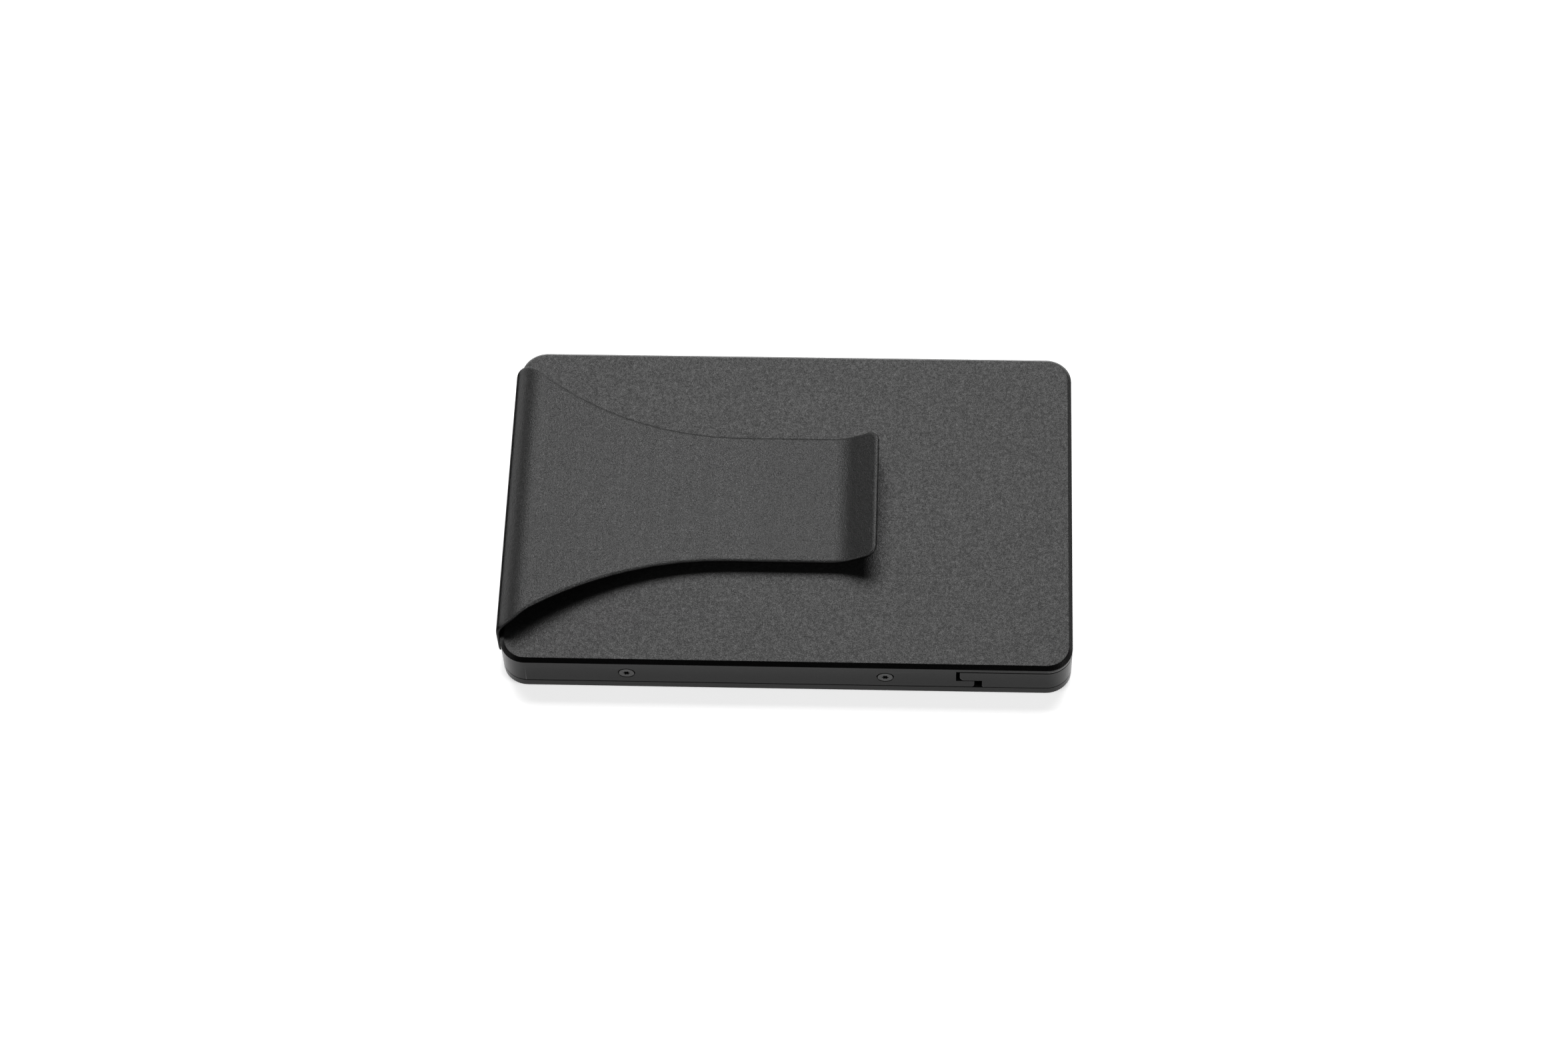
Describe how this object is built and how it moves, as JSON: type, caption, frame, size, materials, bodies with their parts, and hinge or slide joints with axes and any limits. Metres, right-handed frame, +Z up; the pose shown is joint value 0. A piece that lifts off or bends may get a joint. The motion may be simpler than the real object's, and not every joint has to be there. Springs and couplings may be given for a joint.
{
  "type": "card wallet",
  "caption": "Flat dark metal card wallet: two plates round a card bay, a wrap-round bent-sheet money clip on one end and a sprung flick lever round the opposite corner.",
  "frame": {"origin": "centre of the case's flat bottom face, under the middle of the case outline", "axes": "+X along the case towards the lever end, +Y towards the open card mouth on the long side away from the screws, +Z up out of the face that carries the money clip"},
  "size_m": [0.0994, 0.0636, 0.0147],
  "materials": {
    "shell_coat": "dark grey bead-blast anodised, matte with a fine sparkle",
    "lever_coat": "dark grey anodised, smoother than the plates",
    "clip_coat": "dark grey powder coat with a fine orange-peel texture",
    "screw_black": "black oxide, satin",
    "bare_aluminium": "machined, bare",
    "spring_steel": "bright spring steel",
    "rivet_brass": "plain brass, dull",
    "acetal": "black acetal, matte",
    "liner_plastic": "thin black plastic sheet, fine grain"
  },
  "bodies": {
    "case": {"top_shell": "shell_coat", "bottom_plate": "shell_coat", "front_lugs": "bare_aluminium", "side_screws": "screw_black", "bottom_screws": "screw_black", "upper_liner": "liner_plastic", "lower_liner": "liner_plastic", "card_rail": "acetal", "tension_leaf": "spring_steel", "leaf_rivets": "rivet_brass", "pivot_screw": "screw_black", "lower_thrust_washer": "acetal", "upper_thrust_washer": "acetal", "lever_stop_pin": "spring_steel", "lever_spring": "spring_steel", "plunger_body": "screw_black", "plunger_ball": "spring_steel", "plunger_spring": "spring_steel", "clip_anchor": "clip_coat", "clip_screws": "screw_black"},
    "lever": {"flick_lever": "lever_coat", "lever_bush": "rivet_brass", "fan_pusher": "acetal", "pusher_screws": "spring_steel"},
    "clip": {"clip_spring_arm": "clip_coat"}
  },
  "joints": [
    {"name": "lever_swing", "type": "hinge", "parent": "case", "child": "lever", "pos_m": [0.0448, -0.02725, 0.0048], "axis": [0, 0, -1], "range_deg": [0, 22], "stiffness_Nm_per_rad": 0.05, "springref_deg": -5.73, "deforming": ["lever_spring"]},
    {"name": "clip_flex", "type": "hinge", "parent": "case", "child": "clip", "pos_m": [-0.0497, 0, 0.0084], "axis": [0, -1, 0], "range_deg": [-1.4, 6], "stiffness_Nm_per_rad": 1}
  ]
}
